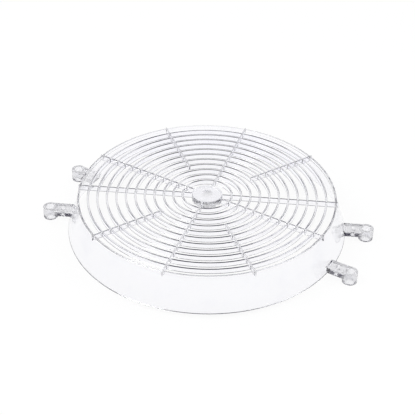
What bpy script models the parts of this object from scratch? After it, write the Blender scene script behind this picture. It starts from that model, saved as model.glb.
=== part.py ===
"""Finger guard for an axial fan, moulded in one piece from clear plastic.

A flat grille of concentric rings and radial ribs closes the narrow end of a flared skirt. Two pairs of
ears stand out from the skirt's wide end, and each ear carries a tubular boss for a fixing screw. The guard
rests on the feet of its bosses. The origin is at the centre of the plane through those feet, +Z points out
of the grille, and +X runs midway between the two ears of a pair.
"""

import math

import bmesh
import bpy
from mathutils import Matrix, Vector

# Driving dimensions: metres, and counts where a name says so
RING_COUNT = 11
RING_PITCH = 0.00943
RING_WIDTH = 0.0022
RING_FOOT_WIDTH = 0.0016
RING_DEPTH = 0.0050

RIB_STEPS_COUNT = 4
SHORT_RIB_RING_COUNT = 4
RIB_WIDTH = 0.0018
RIB_RISE = 0.0003
RIB_DROP = 0.0003
RIB_OVERRUN = 0.0013

HUB_RADIUS = 0.0152
HUB_RISE = 0.0006
HUB_DEPTH = 0.0065
HUB_EDGE_RADIUS = 0.0010
DISH_RADIUS = 0.0065
DISH_DEPTH = 0.0013

SKIRT_HEIGHT = 0.0363
SKIRT_FLARE = 0.0110
SKIRT_WALL = 0.0020
SKIRT_EDGE_RADIUS = 0.0006

BOSS_SPACING_X = 0.3142
BOSS_SPACING_Y = 0.0720
BOSS_RADIUS = 0.0073
BOSS_BORE_RADIUS = 0.0042
BOSS_HEIGHT = 0.0119
BOSS_HANG = 0.0046

ARM_WIDTH = 0.0141
ARM_STEP = 0.0003
ARM_LIFT = 0.0003
ARM_HOLE_RADIUS = 0.00225
ARM_HOLE_SETBACK = 0.0132

# Modelling limits: how far a round form may stray from its circle, its fewest sides, the steps in each small
# curve, the angle past which an edge stays sharp, how far a cutter runs past what it cuts, and how close two
# points lie when they are one
FACET_ERROR = 0.00015
FACET_MINIMUM = 24
EDGE_STEPS = 2
HUB_EDGE_STEPS = 3
DISH_STEPS = 3
NOSE_STEPS = 4
SHARP_ANGLE = math.radians(30)
CUT_OVERRUN = 0.0020
MERGE_DISTANCE = 0.00001

# Levels and radii worked out from the driving dimensions
SKIRT_FOOT_Z = BOSS_HANG
GRILLE_TOP_Z = SKIRT_FOOT_Z + SKIRT_HEIGHT
RIB_TOP_Z = GRILLE_TOP_Z + RIB_RISE
RIB_FOOT_Z = GRILLE_TOP_Z - RING_DEPTH - RIB_DROP
ARM_TOP_Z = BOSS_HEIGHT - ARM_STEP
ARM_FOOT_Z = SKIRT_FOOT_Z + ARM_LIFT
EAR_REACH = math.hypot(BOSS_SPACING_X, BOSS_SPACING_Y) / 2
EAR_ANGLE = math.atan2(BOSS_SPACING_Y, BOSS_SPACING_X)
RIB_STEP_ANGLE = (math.pi - 2 * EAR_ANGLE) / RIB_STEPS_COUNT


def ring_radius(index):
    """Mid radius of a ring: 0 is the hub's side and the last one past the free rings is the rim."""
    return HUB_RADIUS + index * RING_PITCH


RIM_RADIUS = ring_radius(RING_COUNT + 1) + SKIRT_WALL / 2


def facet_count(radius):
    """Even number of flat sides that keeps a circle within the facet error."""
    half_angle = math.acos(1 - FACET_ERROR / radius)
    return max(FACET_MINIMUM, 2 * math.ceil(math.pi / half_angle / 2))


def arc(centre_x, centre_z, radius, start, end, steps):
    """Points of an arc in the XZ plane, angles in degrees from +X towards +Z."""
    points = []
    for step in range(steps + 1):
        angle = math.radians(start + (end - start) * step / steps)
        points.append((centre_x + radius * math.cos(angle), centre_z + radius * math.sin(angle)))
    return points


def add_turned(mesh, profile, facets, centre=(0.0, 0.0)):
    """Spin a closed profile of (radius, height) points about a vertical axis."""
    verts = [mesh.verts.new((centre[0] + radius, centre[1], height)) for radius, height in profile]
    edges = [mesh.edges.new(pair) for pair in zip(verts, verts[1:] + verts[:1])]
    bmesh.ops.spin(
        mesh,
        geom=verts + edges,
        cent=(centre[0], centre[1], 0.0),
        axis=(0.0, 0.0, 1.0),
        angle=2 * math.pi,
        steps=facets,
        use_merge=True,
    )


def add_prism(mesh, outline, low, high, angle):
    """Extrude a plan outline upwards, turned about the guard's axis by an angle."""
    turn = Matrix.Rotation(angle, 4, "Z")
    face = mesh.faces.new([mesh.verts.new(turn @ Vector((along, across, low))) for along, across in outline])
    raised = bmesh.ops.extrude_face_region(mesh, geom=[face])["geom"]
    raised_verts = [item for item in raised if isinstance(item, bmesh.types.BMVert)]
    bmesh.ops.translate(mesh, verts=raised_verts, vec=(0.0, 0.0, high - low))


def make_object(name, mesh):
    """Close a working mesh into an object with all its faces pointing outwards."""
    bmesh.ops.remove_doubles(mesh, verts=mesh.verts, dist=MERGE_DISTANCE)
    loose = [edge for edge in mesh.edges if not edge.link_faces]
    bmesh.ops.delete(mesh, geom=loose, context="EDGES")
    bmesh.ops.recalc_face_normals(mesh, faces=mesh.faces)
    data = bpy.data.meshes.new(name)
    mesh.to_mesh(data)
    mesh.free()
    item = bpy.data.objects.new(name, data)
    bpy.context.scene.collection.objects.link(item)
    return item


def ear_angles():
    """Directions of the four ears, seen from above."""
    return [EAR_ANGLE, math.pi - EAR_ANGLE, math.pi + EAR_ANGLE, -EAR_ANGLE]


def ear_points(reach):
    """Plan positions at one distance from the axis along each ear."""
    return [(reach * math.cos(angle), reach * math.sin(angle)) for angle in ear_angles()]


def skirt():
    """Flared skirt of even wall, with its top edge rounded over."""
    slope = math.degrees(math.atan2(SKIRT_FLARE, SKIRT_HEIGHT))
    edge_x, edge_z = RIM_RADIUS - SKIRT_EDGE_RADIUS, GRILLE_TOP_Z - SKIRT_EDGE_RADIUS
    edge = arc(edge_x, edge_z, SKIRT_EDGE_RADIUS, 90, slope, EDGE_STEPS)
    foot_radius = RIM_RADIUS + SKIRT_FLARE
    profile = [(RIM_RADIUS - SKIRT_WALL, GRILLE_TOP_Z)] + edge
    profile += [(foot_radius, SKIRT_FOOT_Z), (foot_radius - SKIRT_WALL, SKIRT_FOOT_Z)]
    mesh = bmesh.new()
    add_turned(mesh, profile, facet_count(foot_radius))
    return make_object("skirt", mesh)


def skirt_core():
    """Solid cone up to the middle of the skirt's wall, run past both its ends."""
    slope = SKIRT_FLARE / SKIRT_HEIGHT
    top_radius = RIM_RADIUS - SKIRT_WALL / 2 - slope * CUT_OVERRUN
    foot_radius = RIM_RADIUS - SKIRT_WALL / 2 + SKIRT_FLARE + slope * CUT_OVERRUN
    top, foot = GRILLE_TOP_Z + CUT_OVERRUN, SKIRT_FOOT_Z - CUT_OVERRUN
    profile = [(0.0, top), (top_radius, top), (foot_radius, foot), (0.0, foot)]
    mesh = bmesh.new()
    add_turned(mesh, profile, facet_count(foot_radius))
    return make_object("skirt_core", mesh)


def ear_arms():
    """Arm of each ear, from inside the skirt's cone out to its boss."""
    half = ARM_WIDTH / 2
    outline = [(RIM_RADIUS, -half), (EAR_REACH, -half), (EAR_REACH, half), (RIM_RADIUS, half)]
    mesh = bmesh.new()
    for angle in ear_angles():
        add_prism(mesh, outline, ARM_FOOT_Z, ARM_TOP_Z, angle)
    return make_object("ear_arms", mesh)


def round_posts(name, reach, radius, low, high):
    """Upright round post at one distance along each ear."""
    profile = [(0.0, high), (radius, high), (radius, low), (0.0, low)]
    mesh = bmesh.new()
    for centre in ear_points(reach):
        add_turned(mesh, profile, facet_count(radius), centre)
    return make_object(name, mesh)


def grille_rings():
    """Free rings of the grille, thinner at the foot than at the top."""
    top, foot = GRILLE_TOP_Z, GRILLE_TOP_Z - RING_DEPTH
    mesh = bmesh.new()
    for index in range(1, RING_COUNT + 1):
        radius = ring_radius(index)
        profile = [
            (radius - RING_WIDTH / 2, top),
            (radius + RING_WIDTH / 2, top),
            (radius + RING_FOOT_WIDTH / 2, foot),
            (radius - RING_FOOT_WIDTH / 2, foot),
        ]
        add_turned(mesh, profile, facet_count(radius))
    return make_object("grille_rings", mesh)


def rib_outline(start):
    """Plan of one rib along +X, from its start to a rounded nose that stands out past the rim."""
    half = RIB_WIDTH / 2
    nose = RIM_RADIUS + RIB_OVERRUN - half
    return [(start, -half)] + arc(nose, 0.0, half, -90, 90, NOSE_STEPS) + [(start, half)]


def grille_ribs():
    """Radial ribs: long ones from the hub, and short ones between them from a middle ring."""
    long_start = HUB_RADIUS - RIB_WIDTH / 2
    short_start = ring_radius(SHORT_RIB_RING_COUNT)
    mesh = bmesh.new()
    for side in (1, -1):
        for step in range(RIB_STEPS_COUNT + 1):
            start = short_start if step % 2 else long_start
            angle = side * (EAR_ANGLE + step * RIB_STEP_ANGLE)
            add_prism(mesh, rib_outline(start), RIB_FOOT_Z, RIB_TOP_Z, angle)
    return make_object("grille_ribs", mesh)


def hub():
    """Hub: a solid button with a rounded top edge and a shallow dish in its face."""
    top = GRILLE_TOP_Z + HUB_RISE
    foot = GRILLE_TOP_Z - HUB_DEPTH
    dish_sphere = (DISH_RADIUS**2 + DISH_DEPTH**2) / (2 * DISH_DEPTH)
    dish_half_angle = math.degrees(math.asin(DISH_RADIUS / dish_sphere))
    dish_centre = top - DISH_DEPTH + dish_sphere
    dish = arc(0.0, dish_centre, dish_sphere, -90, -90 + dish_half_angle, DISH_STEPS)
    edge_x, edge_z = HUB_RADIUS - HUB_EDGE_RADIUS, top - HUB_EDGE_RADIUS
    edge = arc(edge_x, edge_z, HUB_EDGE_RADIUS, 90, 0, HUB_EDGE_STEPS)
    profile = dish + edge + [(HUB_RADIUS, foot), (0.0, foot)]
    mesh = bmesh.new()
    add_turned(mesh, profile, facet_count(HUB_RADIUS))
    return make_object("hub", mesh)


def combine(base, steps):
    """Run Boolean steps on a base object, one after another, and weld what each of them leaves."""
    for operation, tool in steps:
        cut = base.modifiers.new(tool.name, "BOOLEAN")
        cut.operation = operation
        cut.solver = "EXACT"
        cut.object = tool
        depsgraph = bpy.context.evaluated_depsgraph_get()
        result = bpy.data.meshes.new_from_object(base.evaluated_get(depsgraph))
        base.modifiers.clear()
        bpy.data.objects.remove(tool)
        mesh = bmesh.new()
        mesh.from_mesh(result)
        bmesh.ops.remove_doubles(mesh, verts=mesh.verts, dist=MERGE_DISTANCE)
        bmesh.ops.dissolve_degenerate(mesh, edges=mesh.edges, dist=MERGE_DISTANCE)
        mesh.to_mesh(base.data)
        mesh.free()
        bpy.data.meshes.remove(result)
    return base


def clear_plastic():
    """Clear moulded plastic with a glossy face."""
    material = bpy.data.materials.new("clear_plastic")
    material.use_nodes = True
    shader = material.node_tree.nodes["Principled BSDF"]
    shader.inputs["Base Color"].default_value = (0.93, 0.93, 0.97, 1.0)
    shader.inputs["Metallic"].default_value = 0.0
    shader.inputs["Roughness"].default_value = 0.08
    shader.inputs["IOR"].default_value = 1.49
    shader.inputs["Transmission Weight"].default_value = 0.9
    return material


def ears():
    """Four fixing ears: arms with their holes, and bosses bored for the screws."""
    bosses = round_posts("bosses", EAR_REACH, BOSS_RADIUS, 0.0, BOSS_HEIGHT)
    bores = round_posts("bores", EAR_REACH, BOSS_BORE_RADIUS, -CUT_OVERRUN, BOSS_HEIGHT + CUT_OVERRUN)
    hole_reach = EAR_REACH - ARM_HOLE_SETBACK
    hole_low, hole_high = ARM_FOOT_Z - CUT_OVERRUN, ARM_TOP_Z + CUT_OVERRUN
    arm_holes = round_posts("arm_holes", hole_reach, ARM_HOLE_RADIUS, hole_low, hole_high)
    steps = [
        ("UNION", bosses),
        ("DIFFERENCE", bores),
        ("DIFFERENCE", arm_holes),
        ("DIFFERENCE", skirt_core()),
    ]
    return combine(ear_arms(), steps)


def grille():
    """Hub, rings and ribs joined into one flat grille."""
    return combine(grille_rings(), [("UNION", grille_ribs()), ("UNION", hub())])


def build_guard():
    """Join the skirt, ears and grille into the one moulding."""
    guard = combine(skirt(), [("UNION", ears()), ("UNION", grille())])
    guard.name = "fan_guard"
    guard.data.name = "fan_guard"
    guard.data.materials.clear()
    guard.data.materials.append(clear_plastic())
    guard.data.shade_smooth()
    guard.data.set_sharp_from_angle(angle=SHARP_ANGLE)
    return guard


def main():
    for item in list(bpy.data.objects):
        bpy.data.objects.remove(item)
    build_guard()


main()
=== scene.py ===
"""Clear moulded fan guard on a white sheet, in soft studio light."""

import math

import bmesh
import bpy
from mathutils import Matrix, Vector


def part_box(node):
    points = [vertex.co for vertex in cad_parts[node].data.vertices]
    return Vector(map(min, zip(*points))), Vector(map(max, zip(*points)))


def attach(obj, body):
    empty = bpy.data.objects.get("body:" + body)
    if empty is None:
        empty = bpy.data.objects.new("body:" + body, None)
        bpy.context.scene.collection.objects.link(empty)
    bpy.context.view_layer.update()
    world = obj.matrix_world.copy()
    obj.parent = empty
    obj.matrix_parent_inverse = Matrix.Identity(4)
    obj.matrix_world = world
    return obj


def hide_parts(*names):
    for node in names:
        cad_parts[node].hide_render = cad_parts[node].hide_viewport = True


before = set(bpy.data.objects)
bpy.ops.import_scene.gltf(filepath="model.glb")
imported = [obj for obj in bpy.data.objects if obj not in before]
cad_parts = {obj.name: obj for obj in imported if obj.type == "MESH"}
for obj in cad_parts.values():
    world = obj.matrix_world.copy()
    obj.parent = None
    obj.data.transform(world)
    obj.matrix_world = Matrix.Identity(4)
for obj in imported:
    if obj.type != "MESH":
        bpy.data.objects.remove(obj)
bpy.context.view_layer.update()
GUARD_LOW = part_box("fan_guard")[0]

bl_info = {
    "name": "Fan Guard",
    "version": (1, 0, 0),
    "blender": (4, 5, 0),
    "location": "3D View > Sidebar > Fan Guard",
    "description": "Builds a clear moulded guard for an axial fan, on a white sheet",
    "category": "Object",
}


def length(name, description, default):
    """Property for a length in metres."""
    return bpy.props.FloatProperty(
        name=name,
        description=description,
        default=default,
        min=0.0,
        precision=5,
        subtype="DISTANCE",
        unit="LENGTH",
    )


def share(name, description, default):
    """Property for a plain number from nought to one."""
    return bpy.props.FloatProperty(name=name, description=description, default=default, min=0.0, max=1.0)


def colour(name, description, default):
    """Property for a colour."""
    return bpy.props.FloatVectorProperty(
        name=name, description=description, default=default, min=0.0, max=1.0, size=3, subtype="COLOR"
    )


def turn(name, description, degrees):
    """Property for an angle, given here in degrees."""
    return bpy.props.FloatProperty(
        name=name, description=description, default=math.radians(degrees), subtype="ANGLE", unit="ROTATION"
    )


class GuardSizes(bpy.types.PropertyGroup):
    """Sizes of the moulding."""

    ring_count: bpy.props.IntProperty(name="Rings", description="Free rings in the grille", default=11, min=1)
    ring_pitch: length("Ring pitch", "Distance from one ring to the next", 0.00943)
    ring_width: length("Ring width", "Width of a ring at its top", 0.0022)
    ring_foot_width: length("Ring foot width", "Width of a ring at its foot", 0.0016)
    ring_depth: length("Ring depth", "Height of a ring", 0.0050)
    ring_crown: length("Ring crown", "Rounding of a ring's top edges", 0.0006)
    ring_heel: length("Ring heel", "Rounding of a ring's foot edges", 0.0003)
    rib_gaps: bpy.props.IntProperty(
        name="Rib gaps", description="Gaps between ribs from one ear round to the next", default=4, min=1
    )
    short_rib_ring: bpy.props.IntProperty(
        name="Short rib ring", description="Ring from which the short ribs start", default=4, min=0
    )
    rib_width: length("Rib width", "Width of a rib at its top", 0.0018)
    rib_draft: length("Rib draft", "How far each side of a rib leans in towards its foot", 0.00025)
    rib_rise: length("Rib rise", "Height of the ribs above the rings", 0.0003)
    rib_drop: length("Rib drop", "Depth of the ribs below the rings", 0.0003)
    rib_overrun: length("Rib overrun", "How far a rib's nose stands out past the rim", 0.0013)
    hub_radius: length("Hub radius", "Outer radius of the hub", 0.0152)
    hub_rise: length("Hub rise", "Height of the hub above the rings", 0.0006)
    hub_depth: length("Hub depth", "Depth of the hub below the rings' top", 0.0065)
    hub_edge: length("Hub edge", "Rounding of the hub's top edge", 0.0010)
    hub_heel: length("Hub heel", "Rounding of the hub's foot edge", 0.0002)
    dish_radius: length("Dish radius", "Radius of the dish in the hub's face", 0.0065)
    dish_depth: length("Dish depth", "Depth of the dish in the hub's face", 0.0013)
    skirt_height: length("Skirt height", "Height of the skirt", 0.0363)
    skirt_flare: length("Skirt flare", "How much wider the skirt's foot is than its rim, on the radius", 0.0110)
    skirt_wall: length("Skirt wall", "Thickness of the skirt", 0.0020)
    skirt_edge: length("Skirt edge", "Rounding of the skirt's edges", 0.0006)
    band_height: length("Band height", "Height of the upright band under the rim", 0.0030)
    boss_spacing_x: length("Boss spacing X", "Distance between bosses along the guard", 0.3142)
    boss_spacing_y: length("Boss spacing Y", "Distance between bosses across the guard", 0.0720)
    boss_radius: length("Boss radius", "Outer radius of a boss", 0.0073)
    bore_radius: length("Bore radius", "Radius of a boss's bore", 0.0042)
    boss_height: length("Boss height", "Height of a boss", 0.0119)
    boss_hang: length("Boss hang", "How far a boss hangs below the skirt", 0.0046)
    arm_width: length("Arm width", "Width of an ear's arm at its top", 0.0141)
    arm_draft: length("Arm draft", "How far each side of an arm leans in towards its foot", 0.0006)
    arm_step: length("Arm step", "Height of a boss above its arm", 0.0003)
    arm_lift: length("Arm lift", "Height of an arm's foot above the skirt's", 0.0003)
    arm_hole_radius: length("Arm hole radius", "Radius of the hole in an arm", 0.00225)
    arm_hole_setback: length("Arm hole setback", "Distance from a boss in to its arm's hole", 0.0132)
    edge: length("Moulded edge", "Rounding of the ribs' and ears' edges", 0.00015)


class PlasticLook(bpy.types.PropertyGroup):
    """Look of the clear plastic."""

    tint: colour("Tint", "Colour that the plastic passes", (0.978, 0.978, 1.0))
    cloud: colour("Cloud", "Colour where the plastic is a little cloudy", (0.955, 0.955, 0.990))
    bend: bpy.props.FloatProperty(name="Bend", description="Index of refraction", default=1.53, min=1.0, max=2.0)
    polish: share("Polish", "Roughness of the grille and the skirt", 0.05)
    hub_satin: share("Hub satin", "Roughness added at the hub", 0.14)
    hub_bloom: share("Hub bloom", "Share of the light that the hub's satin face scatters", 0.25)
    ear_satin: share("Ear satin", "Roughness added at the ears", 0.24)
    scuff: share("Scuff", "Roughness added where the faces are handled", 0.08)


class StageLook(bpy.types.PropertyGroup):
    """Camera, floor and light."""

    azimuth: turn("Azimuth", "Direction of the camera round the guard", 18.0)
    elevation: turn("Elevation", "Height of the camera over the horizon", 36.155)
    roll: turn("Roll", "Lean of the camera", -0.939)
    distance: length("Distance", "Distance from the camera to the grille", 1.1578)
    slide_right: length("Slide right", "How far the camera stands to the right", 0.0003044)
    slide_down: length("Slide down", "How far the camera stands below the grille's centre", 0.01354)
    focal_pixels: bpy.props.FloatProperty(
        name="Focal length in pixels", description="Focal length on a picture 415 pixels wide", default=1157.8
    )
    floor: colour("Floor", "Colour of the sheet", (0.93, 0.93, 0.93))
    floor_glow: share("Floor glow", "Share of the sheet's colour that is seen without shadow", 0.93)
    skyline: share("Skyline", "Height at which the bright band round the sheet has faded to the dark room", 0.20)
    room: colour("Room", "Colour of the room above the bright band", (0.004, 0.0, 0.030))


class Layout:
    """Levels and radii that follow from the guard's sizes."""

    def __init__(self, sizes):
        self.sizes = sizes
        self.skirt_foot = sizes.boss_hang
        self.top = self.skirt_foot + sizes.skirt_height
        self.ring_foot = self.top - sizes.ring_depth
        self.rib_top = self.top + sizes.rib_rise
        self.rib_foot = self.ring_foot - sizes.rib_drop
        self.arm_top = sizes.boss_height - sizes.arm_step
        self.arm_foot = self.skirt_foot + sizes.arm_lift
        self.ear_reach = math.hypot(sizes.boss_spacing_x, sizes.boss_spacing_y) / 2
        self.ear_angle = math.atan2(sizes.boss_spacing_y, sizes.boss_spacing_x)
        self.rib_angle = (math.pi - 2 * self.ear_angle) / sizes.rib_gaps
        self.rim = self.ring_radius(sizes.ring_count + 1) + sizes.skirt_wall / 2
        self.foot = self.rim + sizes.skirt_flare
        self.slope = sizes.skirt_flare / sizes.skirt_height

    def ring_radius(self, index):
        """Mid radius of a ring, counted from the hub's side."""
        return self.sizes.hub_radius + index * self.sizes.ring_pitch

    def ear_angles(self):
        """Directions of the four ears."""
        return [self.ear_angle, math.pi - self.ear_angle, math.pi + self.ear_angle, -self.ear_angle]

    def ear_points(self, reach):
        """Plan positions at one distance out along each ear."""
        return [(reach * math.cos(angle), reach * math.sin(angle)) for angle in self.ear_angles()]


# Fineness of the moulding's mesh, the angles past which a bar's edge is eased and an edge is shaded sharp, how
# far a cutter runs past what it cuts, and how close two points lie when they are one
CHORD = 0.0020
SMALL_STEPS = 48
CORNER_STEPS = 3
CORNER_LENGTH = 0.00015
NOSE_STEPS = 10
DISH_STEPS = 10
EASED_ANGLE = math.radians(60)
SHARP_ANGLE = math.radians(35)
OVERRUN = 0.0020
WELD = 0.000001

# Patterns in the plastic: their patches to the metre, the level at which each starts to show, and how softly
NOISE_ROUGHNESS = 0.55
FLOW_SCALE = 55.0
GRAIN_SCALE = 900.0
HANDLED_SCALE = 38.0
HANDLED_LEVEL = 0.56
HANDLED_SOFTNESS = 0.10
SCRATCH_SCALE = (2400.0, 160.0, 700.0)
SCRATCH_LEVEL = 0.66
SCRATCH_SOFTNESS = 0.03

# What the patterns do: relief, roughness of a scratch, share of cloud, colour of the satin face's bloom, and
# half the width of the border between a polished and a satin face
RELIEF_STRENGTH = 0.15
RELIEF_DEPTH = 0.0001
SCRATCH_RELIEF = 0.01
SCRATCH_ROUGHNESS = 0.08
CLOUD_SHARE = 0.6
BLOOM_WHITE = (0.95, 0.95, 1.0, 1.0)
SATIN_BORDER = 0.0004

# Stage: half the sheet's side, its drop below the bosses' feet, the world's fill of shadows, how often light may
# turn inside the clear plastic before it is lost, and each lamp's place, size and power in watts
SHEET_HALF = 3.0
SHEET_DROP = 0.0002
WHITE = (1.0, 1.0, 1.0)
SHADOW_FILL = (0.75, 0.75, 0.76)
LIGHT_BOUNCES = 24
LAMPS = {"key": ((-0.9, -0.7, 1.5), 0.9, 14.0), "fill": ((1.2, 0.3, 1.3), 1.1, 7.0)}
PICTURE_WIDTH = 415.0
SENSOR_WIDTH = 36.0


def rounded(corners):
    """Outline through (x, z, rounding) corners, each one eased by a short curve."""
    points = []
    for index, (x, z, rounding) in enumerate(corners):
        here = Vector((x, z))
        if not rounding:
            points.append(here)
            continue
        before = Vector(corners[index - 1][:2]) - here
        after = Vector(corners[(index + 1) % len(corners)][:2]) - here
        start = here + before.normalized() * rounding
        end = here + after.normalized() * rounding
        steps = max(CORNER_STEPS, math.ceil(rounding / CORNER_LENGTH))
        for step in range(steps + 1):
            part = step / steps
            points.append(start.lerp(here, part).lerp(here.lerp(end, part), part))
    return points


def add_part(mesh, part):
    """Move one working mesh into another."""
    copy = bpy.data.meshes.new("part")
    part.to_mesh(copy)
    part.free()
    mesh.from_mesh(copy)
    bpy.data.meshes.remove(copy)


def add_turned(mesh, profile, centre=(0.0, 0.0)):
    """Spin a closed profile of (radius, height) points about an upright axis."""
    widest = max(point[0] for point in profile)
    steps = max(SMALL_STEPS, 4 * math.ceil(math.tau * widest / CHORD / 4))
    part = bmesh.new()
    verts = [part.verts.new((centre[0] + point[0], centre[1], point[1])) for point in profile]
    edges = [part.edges.new(pair) for pair in zip(verts, verts[1:] + verts[:1])]
    bmesh.ops.spin(
        part,
        geom=verts + edges,
        cent=(centre[0], centre[1], 0.0),
        axis=(0.0, 0.0, 1.0),
        angle=math.tau,
        steps=steps,
        use_merge=True,
    )
    add_part(mesh, part)


def add_bar(mesh, outline, low, high, angle, rounding, draft):
    """Raise a plan outline into a bar with leaning sides and eased edges, and turn it about the axis."""
    narrow = 1 - draft / max(across for along, across in outline)
    bar = bmesh.new()
    face = bar.faces.new([bar.verts.new((along, across * narrow, low)) for along, across in outline])
    raised = bmesh.ops.extrude_face_region(bar, geom=[face])["geom"]
    verts = [item for item in raised if isinstance(item, bmesh.types.BMVert)]
    for vert in verts:
        vert.co.y /= narrow
        vert.co.z = high
    bmesh.ops.recalc_face_normals(bar, faces=bar.faces)
    corners = [edge for edge in bar.edges if edge.calc_face_angle() > EASED_ANGLE]
    bmesh.ops.bevel(bar, geom=corners, offset=rounding, segments=CORNER_STEPS, profile=0.5, affect="EDGES")
    bmesh.ops.rotate(bar, verts=bar.verts, matrix=Matrix.Rotation(angle, 3, "Z"))
    add_part(mesh, bar)


def make_object(name, mesh):
    """Close a working mesh into an object with its faces pointing outwards."""
    bmesh.ops.remove_doubles(mesh, verts=mesh.verts, dist=WELD)
    loose = [edge for edge in mesh.edges if not edge.link_faces]
    bmesh.ops.delete(mesh, geom=loose, context="EDGES")
    bmesh.ops.recalc_face_normals(mesh, faces=mesh.faces)
    data = bpy.data.meshes.new(name)
    mesh.to_mesh(data)
    mesh.free()
    item = bpy.data.objects.new(name, data)
    bpy.context.scene.collection.objects.link(item)
    return item


def turned_object(name, corners, centres=((0.0, 0.0),)):
    """Object turned from a cornered profile, once round each centre."""
    mesh = bmesh.new()
    for centre in centres:
        add_turned(mesh, rounded(corners), centre)
    return make_object(name, mesh)


def volume(item):
    """Volume of an object's mesh."""
    mesh = bmesh.new()
    mesh.from_mesh(item.data)
    amount = mesh.calc_volume()
    mesh.free()
    return amount


def check_closed(item):
    """Stop when an edge of the mesh doesn't lie between two faces."""
    mesh = bmesh.new()
    mesh.from_mesh(item.data)
    gaps = [edge for edge in mesh.edges if len(edge.link_faces) != 2]
    mesh.free()
    if gaps:
        raise RuntimeError(f"The mesh of {item.name} has {len(gaps)} open edges")


def combine(base, steps):
    """Run Boolean steps on a base object one by one, and weld what each of them leaves."""
    for operation, tool in steps:
        before, change = volume(base), volume(tool)
        least = before + change / 2 if operation == "UNION" else before / 2
        name = tool.name
        cut = base.modifiers.new(name, "BOOLEAN")
        cut.operation = operation
        cut.solver = "MANIFOLD"
        cut.object = tool
        depsgraph = bpy.context.evaluated_depsgraph_get()
        result = bpy.data.meshes.new_from_object(base.evaluated_get(depsgraph))
        base.modifiers.clear()
        bpy.data.objects.remove(tool)
        mesh = bmesh.new()
        mesh.from_mesh(result)
        bmesh.ops.remove_doubles(mesh, verts=mesh.verts, dist=WELD)
        mesh.to_mesh(base.data)
        mesh.free()
        bpy.data.meshes.remove(result)
        if volume(base) < least:
            raise RuntimeError(f"The step with {name} lost a part of the moulding")
    return base


def skirt(layout):
    """Flared skirt of even wall, with an upright band under its rim."""
    sizes = layout.sizes
    inside = layout.rim - sizes.skirt_wall
    band_foot = layout.top - sizes.band_height
    corners = [
        (inside, layout.top, sizes.skirt_edge),
        (layout.rim, layout.top, sizes.skirt_edge),
        (layout.rim, band_foot, sizes.ring_heel),
        (layout.foot, layout.skirt_foot, sizes.skirt_edge),
        (layout.foot - sizes.skirt_wall, layout.skirt_foot, sizes.skirt_edge),
        (inside, band_foot, sizes.ring_heel),
    ]
    return turned_object("skirt", corners)


def skirt_core(layout):
    """Cone up to the middle of the skirt's wall, which trims the arms to it."""
    sizes = layout.sizes
    top_radius = layout.rim - sizes.skirt_wall / 2 - layout.slope * OVERRUN
    foot_radius = layout.foot - sizes.skirt_wall / 2 + layout.slope * OVERRUN
    top, foot = layout.top + OVERRUN, layout.skirt_foot - OVERRUN
    return turned_object(
        "skirt_core", [(0.0, top, 0), (top_radius, top, 0), (foot_radius, foot, 0), (0.0, foot, 0)]
    )


def grille_rings(layout):
    """Free rings, round at the top and tapered down to the foot."""
    sizes = layout.sizes
    top_half, foot_half = sizes.ring_width / 2, sizes.ring_foot_width / 2
    mesh = bmesh.new()
    for index in range(1, sizes.ring_count + 1):
        radius = layout.ring_radius(index)
        corners = [
            (radius - top_half, layout.top, sizes.ring_crown),
            (radius + top_half, layout.top, sizes.ring_crown),
            (radius + foot_half, layout.ring_foot, sizes.ring_heel),
            (radius - foot_half, layout.ring_foot, sizes.ring_heel),
        ]
        add_turned(mesh, rounded(corners))
    return make_object("rings", mesh)


def grille_ribs(layout):
    """Ribs from the hub to the rim, with short ones between them, each ending in a round nose."""
    sizes = layout.sizes
    half = sizes.rib_width / 2
    nose = layout.rim + sizes.rib_overrun - half
    mesh = bmesh.new()
    for side in (1, -1):
        for gap in range(sizes.rib_gaps + 1):
            short = gap % 2
            start = layout.ring_radius(sizes.short_rib_ring) if short else sizes.hub_radius - half
            outline = [(start, -half)]
            for step in range(NOSE_STEPS + 1):
                angle = math.pi * (step / NOSE_STEPS - 0.5)
                outline.append((nose + half * math.cos(angle), half * math.sin(angle)))
            outline.append((start, half))
            angle = side * (layout.ear_angle + gap * layout.rib_angle)
            add_bar(mesh, outline, layout.rib_foot, layout.rib_top, angle, sizes.edge, sizes.rib_draft)
    return make_object("ribs", mesh)


def hub(layout):
    """Solid button with a round top edge and a shallow dish in its face."""
    sizes = layout.sizes
    face = layout.top + sizes.hub_rise
    foot = layout.top - sizes.hub_depth
    corners = []
    for step in range(DISH_STEPS + 1):
        part = step / DISH_STEPS
        corners.append((sizes.dish_radius * part, face - sizes.dish_depth * (1 - part**2), 0))
    corners += [
        (sizes.hub_radius, face, sizes.hub_edge),
        (sizes.hub_radius, foot, sizes.hub_heel),
        (0.0, foot, 0),
    ]
    return turned_object("hub", corners)


def ears(layout):
    """Four ears: an arm with its hole, and a boss with its bore."""
    sizes = layout.sizes
    half = sizes.arm_width / 2
    outline = [(layout.rim, -half), (layout.ear_reach, -half), (layout.ear_reach, half), (layout.rim, half)]
    arms = bmesh.new()
    for angle in layout.ear_angles():
        add_bar(arms, outline, layout.arm_foot, layout.arm_top, angle, sizes.edge, sizes.arm_draft)
    boss = [
        (0.0, sizes.boss_height, 0),
        (sizes.boss_radius, sizes.boss_height, sizes.edge),
        (sizes.boss_radius, 0.0, sizes.edge),
        (0.0, 0.0, 0),
    ]
    hole_reach = layout.ear_reach - sizes.arm_hole_setback
    steps = [
        ("UNION", turned_object("bosses", boss, layout.ear_points(layout.ear_reach))),
        ("DIFFERENCE", drill(layout, layout.ear_reach, sizes.bore_radius, 0.0, sizes.boss_height)),
        ("DIFFERENCE", drill(layout, hole_reach, sizes.arm_hole_radius, layout.arm_foot, layout.arm_top)),
        ("DIFFERENCE", skirt_core(layout)),
    ]
    return combine(make_object("arms", arms), steps)


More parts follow.
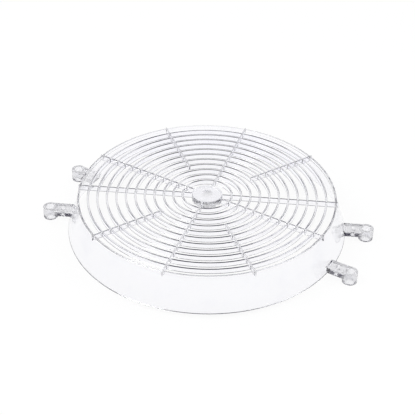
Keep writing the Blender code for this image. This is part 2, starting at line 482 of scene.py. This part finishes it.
def drill(layout, reach, radius, low, high):
    """Cutter for one hole in each ear, which eases the hole's two mouths."""
    ease = layout.sizes.edge
    flare = ease + OVERRUN
    corners = [
        (0.0, high + OVERRUN, 0),
        (radius + flare, high + OVERRUN, 0),
        (radius, high - ease, ease / 2),
        (radius, low + ease, ease / 2),
        (radius + flare, low - OVERRUN, 0),
        (0.0, low - OVERRUN, 0),
    ]
    return turned_object("drill", corners, layout.ear_points(reach))


class Value:
    """A shader socket on which sums are written as Python expressions."""

    def __init__(self, tree, socket):
        self.tree = tree
        self.socket = socket

    def maths(self, operation, first, second):
        """Result of a Math node on two values."""
        return self.tree.node("ShaderNodeMath", {"operation": operation}, {0: first, 1: second})

    def __add__(self, other):
        return self.maths("ADD", self, other)

    def __sub__(self, other):
        return self.maths("SUBTRACT", self, other)

    def __mul__(self, other):
        return self.maths("MULTIPLY", self, other)

    def __radd__(self, other):
        return self.maths("ADD", other, self)

    def __rsub__(self, other):
        return self.maths("SUBTRACT", other, self)

    def __rmul__(self, other):
        return self.maths("MULTIPLY", other, self)

    def most(self, other):
        """The larger of two values."""
        return self.maths("MAXIMUM", self, other)

    def above(self, limit, softness):
        """Nought below a limit, rising to one over the given softness."""
        settings = {"interpolation_type": "SMOOTHSTEP"}
        sockets = {"Value": self, "From Min": limit - softness, "From Max": limit + softness}
        return self.tree.node("ShaderNodeMapRange", settings, sockets, "Result")


class Tree:
    """Node tree of a material or a world, filled by its node method."""

    def __init__(self, owner):
        owner.use_nodes = True
        self.nodes = owner.node_tree.nodes
        self.links = owner.node_tree.links
        self.nodes.clear()

    def node(self, kind, settings=None, sockets=None, output=0):
        """Add a node with its settings and socket values or links, and wrap one of its outputs."""
        item = self.nodes.new(kind)
        for name, value in (settings or {}).items():
            if name == "stops":
                self.set_stops(item.color_ramp, value)
            else:
                setattr(item, name, value)
        for name, value in (sockets or {}).items():
            if isinstance(value, Value):
                self.links.new(value.socket, item.inputs[name])
            else:
                item.inputs[name].default_value = value
        return Value(self, item.outputs[output]) if len(item.outputs) else item

    @staticmethod
    def set_stops(ramp, stops):
        """Give a colour ramp its stops, as (position, colour) pairs."""
        while len(ramp.elements) > 1:
            ramp.elements.remove(ramp.elements[-1])
        for index, (position, shade) in enumerate(stops):
            element = ramp.elements[0] if index == 0 else ramp.elements.new(position)
            element.position = position
            element.color = (*shade, 1.0)

    def mix(self, factor, first, second):
        """Blend two colours."""
        settings = {"data_type": "RGBA"}
        return self.node("ShaderNodeMix", settings, {"Factor": factor, 6: first, 7: second}, 2)

    def place(self):
        """Position on the object, in metres."""
        return self.node("ShaderNodeTexCoord", output="Object")

    def noise(self, scale, detail, place=None):
        """Soft noise with this many patches to the metre."""
        sockets = {
            "Vector": place or self.place(),
            "Scale": scale,
            "Detail": detail,
            "Roughness": NOISE_ROUGHNESS,
        }
        return self.node("ShaderNodeTexNoise", {}, sockets, "Fac")

    def seen(self):
        """One for the rays that see the backdrop straight, in a gloss or through the plastic."""
        straight = self.node("ShaderNodeLightPath", output="Is Camera Ray")
        gloss = self.node("ShaderNodeLightPath", output="Is Glossy Ray")
        through = self.node("ShaderNodeLightPath", output="Is Transmission Ray")
        return straight.most(gloss).most(through)


def clear_plastic(look, layout):
    """Clear plastic, polished in the grille, satin at the hub and ears, with flow waves, scuffs and cloud."""
    sizes = layout.sizes
    material = bpy.data.materials.new("clear_moulded_plastic")
    tree = Tree(material)
    height = tree.node("ShaderNodeSeparateXYZ", {}, {0: tree.place()}, "Z")
    level_place = {0: tree.place(), 1: (1.0, 1.0, 0.0)}
    flat = tree.node("ShaderNodeVectorMath", {"operation": "MULTIPLY"}, level_place)
    reach = tree.node("ShaderNodeVectorMath", {"operation": "LENGTH"}, {0: flat}, "Value")
    hub_zone = 1 - reach.above(sizes.hub_radius + SATIN_BORDER, SATIN_BORDER)
    half_dish = sizes.dish_radius / 2
    hub_face = hub_zone * height.above(layout.top, SATIN_BORDER) * reach.above(half_dish, half_dish)
    ear_zone = reach.above(layout.foot + SATIN_BORDER, SATIN_BORDER)
    finish = hub_zone * look.hub_satin + ear_zone * look.ear_satin + look.polish
    flow = tree.noise(FLOW_SCALE, 2.0)
    grain = tree.noise(GRAIN_SCALE, 3.0)
    handled = tree.noise(HANDLED_SCALE, 4.0).above(HANDLED_LEVEL, HANDLED_SOFTNESS)
    drawn_out = tree.node("ShaderNodeMapping", {}, {"Vector": tree.place(), "Scale": SCRATCH_SCALE})
    scratched = tree.noise(1.0, 3.0, drawn_out).above(SCRATCH_LEVEL, SCRATCH_SOFTNESS)
    relief = {
        "Strength": RELIEF_STRENGTH,
        "Distance": RELIEF_DEPTH,
        "Height": flow - scratched * SCRATCH_RELIEF,
    }
    bump = tree.node("ShaderNodeBump", {}, relief)
    shader = tree.node(
        "ShaderNodeBsdfPrincipled",
        {},
        {
            "Base Color": tree.mix(handled * CLOUD_SHARE, (*look.tint, 1.0), (*look.cloud, 1.0)),
            "Roughness": finish + handled * grain * look.scuff + scratched * handled * SCRATCH_ROUGHNESS,
            "IOR": look.bend,
            "Transmission Weight": 1.0,
            "Normal": bump,
        },
    )
    bloom = tree.node("ShaderNodeBsdfDiffuse", {}, {"Color": BLOOM_WHITE})
    both = tree.node("ShaderNodeMixShader", {}, {0: hub_face * look.hub_bloom, 1: shader, 2: bloom})
    tree.node("ShaderNodeOutputMaterial", {}, {"Surface": both})
    return material


def sheet_material(look):
    """White sheet that is seen evenly bright, with only a soft shadow on it."""
    material = bpy.data.materials.new("white_sheet")
    tree = Tree(material)
    lit = tree.node("ShaderNodeBsdfDiffuse", {}, {"Color": (*look.floor, 1.0)})
    glow = tree.node("ShaderNodeEmission", {}, {"Color": (*WHITE, 1.0), "Strength": 1.0})
    both = tree.node("ShaderNodeMixShader", {}, {0: tree.seen() * look.floor_glow, 1: lit, 2: glow})
    tree.node("ShaderNodeOutputMaterial", {}, {"Surface": both})
    return material


def studio_world(look):
    """Bright band round the sheet, a dark room above it, and an even fill for the lamps' shadows."""
    world = bpy.data.worlds.new("studio")
    tree = Tree(world)
    direction = tree.node("ShaderNodeTexCoord", output="Generated")
    height = tree.node("ShaderNodeSeparateXYZ", {}, {0: direction}, "Z")
    stops = [(0.0, WHITE), (look.skyline, tuple(look.room))]
    room = tree.node("ShaderNodeValToRGB", {"stops": stops}, {"Fac": height}, "Color")
    lit = tree.mix(tree.seen(), (*SHADOW_FILL, 1.0), room)
    background = tree.node("ShaderNodeBackground", {}, {"Color": lit})
    tree.node("ShaderNodeOutputWorld", {}, {"Surface": background})
    return world


class BuildMoulding(bpy.types.Operator):
    """Build the guard: skirt, ears, rings, ribs and hub in one moulding"""

    bl_idname = "fan_guard.build_moulding"
    bl_label = "Build moulding"

    def execute(self, context):
        layout = Layout(context.scene.guard_sizes)
        grille = combine(grille_rings(layout), [("UNION", grille_ribs(layout)), ("UNION", hub(layout))])
        guard = combine(skirt(layout), [("UNION", ears(layout)), ("UNION", grille)])
        guard.name = "guard_moulding"
        guard.data.name = "guard_moulding"
        guard.data.materials.clear()
        guard.data.materials.append(clear_plastic(context.scene.guard_plastic, layout))
        check_closed(guard)
        guard.data.shade_smooth()
        guard.data.set_sharp_from_angle(angle=SHARP_ANGLE)
        shading = guard.modifiers.new("flat_walls", "WEIGHTED_NORMAL")
        shading.keep_sharp = True
        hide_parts("fan_guard")
        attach(guard, "root")
        return {"FINISHED"}


class BuildStage(bpy.types.Operator):
    """Lay the white sheet and set the room, the lamps and the camera"""

    bl_idname = "fan_guard.build_stage"
    bl_label = "Build stage"

    def execute(self, context):
        look = context.scene.guard_stage
        self.lay_sheet(look)
        context.scene.world = studio_world(look)
        context.scene.view_settings.view_transform = "Standard"
        for kind in ("max_bounces", "glossy_bounces", "transmission_bounces"):
            setattr(context.scene.cycles, kind, LIGHT_BOUNCES)
        for name, (place, size, power) in LAMPS.items():
            self.hang_lamp(name, place, size, power)
        self.set_camera(context, look)
        return {"FINISHED"}

    def lay_sheet(self, look):
        """Wide plain floor just under the bosses' feet."""
        level = GUARD_LOW[2] - SHEET_DROP
        mesh = bmesh.new()
        sides = [(-1, -1), (1, -1), (1, 1), (-1, 1)]
        mesh.faces.new([mesh.verts.new((x * SHEET_HALF, y * SHEET_HALF, level)) for x, y in sides])
        sheet = make_object("white_sheet", mesh)
        sheet.data.materials.append(sheet_material(look))

    def hang_lamp(self, name, place, size, power):
        """Square soft lamp that faces the guard."""
        data = bpy.data.lights.new(name, "AREA")
        data.shape = "SQUARE"
        data.size = size
        data.energy = power
        lamp = bpy.data.objects.new(name, data)
        lamp.location = place
        lamp.rotation_euler = (-Vector(place)).to_track_quat("-Z", "Y").to_euler()
        bpy.context.scene.collection.objects.link(lamp)

    def set_camera(self, context, look):
        """Camera at the angle from which the guard is seen."""
        data = bpy.data.cameras.new("view")
        data.sensor_width = SENSOR_WIDTH
        data.lens = data.sensor_width * look.focal_pixels / PICTURE_WIDTH
        turn_z = Matrix.Rotation(look.azimuth, 3, "Z")
        tilt = Matrix.Rotation(math.pi / 2 - look.elevation, 3, "X")
        lean = Matrix.Rotation(-look.roll, 3, "Z")
        axes = turn_z @ tilt @ lean
        centre = Vector((0.0, 0.0, Layout(context.scene.guard_sizes).top))
        place = centre + axes @ Vector((look.slide_right, -look.slide_down, look.distance))
        camera = bpy.data.objects.new("view", data)
        camera.matrix_world = Matrix.Translation(place) @ axes.to_4x4()
        context.scene.collection.objects.link(camera)
        context.scene.camera = camera


class FanGuardPanel(bpy.types.Panel):
    """Sidebar panel with the guard's sizes and looks"""

    bl_idname = "VIEW3D_PT_fan_guard"
    bl_label = "Fan Guard"
    bl_space_type = "VIEW_3D"
    bl_region_type = "UI"
    bl_category = "Fan Guard"

    def draw(self, context):
        scene = context.scene
        for operator in OPERATORS:
            self.layout.operator(operator.bl_idname)
        for group in (scene.guard_sizes, scene.guard_plastic, scene.guard_stage):
            column = self.layout.column()
            for name in group.__annotations__:
                column.prop(group, name)


OPERATORS = (BuildMoulding, BuildStage)
CLASSES = (GuardSizes, PlasticLook, StageLook, *OPERATORS, FanGuardPanel)


def register():
    for item in CLASSES:
        bpy.utils.register_class(item)
    bpy.types.Scene.guard_sizes = bpy.props.PointerProperty(type=GuardSizes)
    bpy.types.Scene.guard_plastic = bpy.props.PointerProperty(type=PlasticLook)
    bpy.types.Scene.guard_stage = bpy.props.PointerProperty(type=StageLook)


def unregister():
    del bpy.types.Scene.guard_stage
    del bpy.types.Scene.guard_plastic
    del bpy.types.Scene.guard_sizes
    for item in reversed(CLASSES):
        bpy.utils.unregister_class(item)


def main():
    register()
    bpy.ops.fan_guard.build_moulding()
    bpy.ops.fan_guard.build_stage()


if __name__ == "__main__":
    main()
